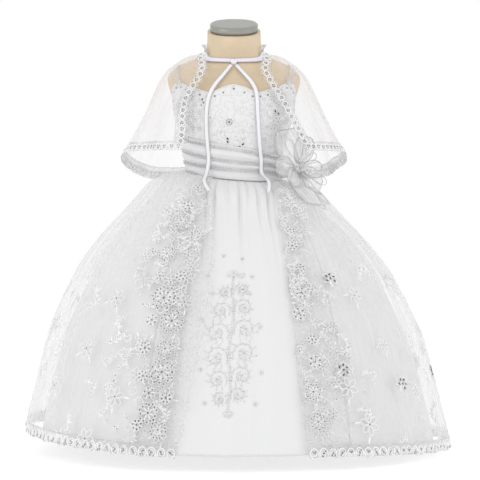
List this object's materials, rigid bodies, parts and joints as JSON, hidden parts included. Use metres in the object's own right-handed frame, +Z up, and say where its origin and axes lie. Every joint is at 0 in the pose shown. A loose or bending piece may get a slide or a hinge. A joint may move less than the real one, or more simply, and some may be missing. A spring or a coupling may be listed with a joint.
{
  "type": "christening gown on a dress form",
  "caption": "Floor-length christening ball gown in satin and sheer organza with lace borders, beaded sash, hip flower and sheer tied cape, on a limbless dress form with a round stand.",
  "frame": {"origin": "on the floor, at the middle of the stand's round base", "axes": "+Z up, -Y towards the front of the gown, +X towards the wearer's left"},
  "size_m": [0.815, 0.7674, 0.8193],
  "materials": {
    "satin": "smooth white satin",
    "organza": "sheer white organza and tulle",
    "lace": "white embroidered lace with sequins",
    "ribbon": "satin ribbon, white with a pale lavender tint",
    "beads": "silver-grey glass beads and sequins",
    "linen": "beige linen cover",
    "steel": "dull brushed metal",
    "stand": "brushed"
  },
  "bodies": {
    "root": {"back_placket": "satin", "beaded_band_bottom": "beads", "beaded_band_middle": "beads", "beaded_band_top": "beads", "bodice_back_left": "lace", "bodice_back_right": "lace", "bodice_front": "lace", "cape_edge_lace_left": "lace", "cape_edge_lace_right": "lace", "cape_hem_lace": "lace", "cape_tulle": "organza", "flower_back_petal_1": "organza", "flower_back_petal_2": "organza", "flower_back_petal_3": "organza", "flower_back_petal_4": "organza", "flower_front_petal_1": "organza", "flower_front_petal_2": "organza", "flower_front_petal_3": "organza", "flower_heart": "beads", "flower_sequin_leaf_1": "beads", "flower_sequin_leaf_2": "beads", "flower_sequin_leaf_3": "beads", "flower_stalk": "organza", "flower_streamer_1": "ribbon", "flower_streamer_2": "ribbon", "form_base": "stand", "form_neck_cap": "steel", "form_pole": "stand", "form_torso": "linen", "front_lace_left": "lace", "front_lace_right": "lace", "hem_lace_left": "lace", "hem_lace_right": "lace", "neck_frill": "lace", "neck_ribbon": "ribbon", "organza_skirt_left": "organza", "organza_skirt_right": "organza", "ribbon_knot": "ribbon", "ribbon_tail_left": "ribbon", "ribbon_tail_right": "ribbon", "satin_front_panel": "satin", "satin_side_left": "satin", "satin_side_right": "satin", "strap_left": "ribbon", "strap_right": "ribbon", "waist_sash": "satin"}
  },
  "joints": []
}
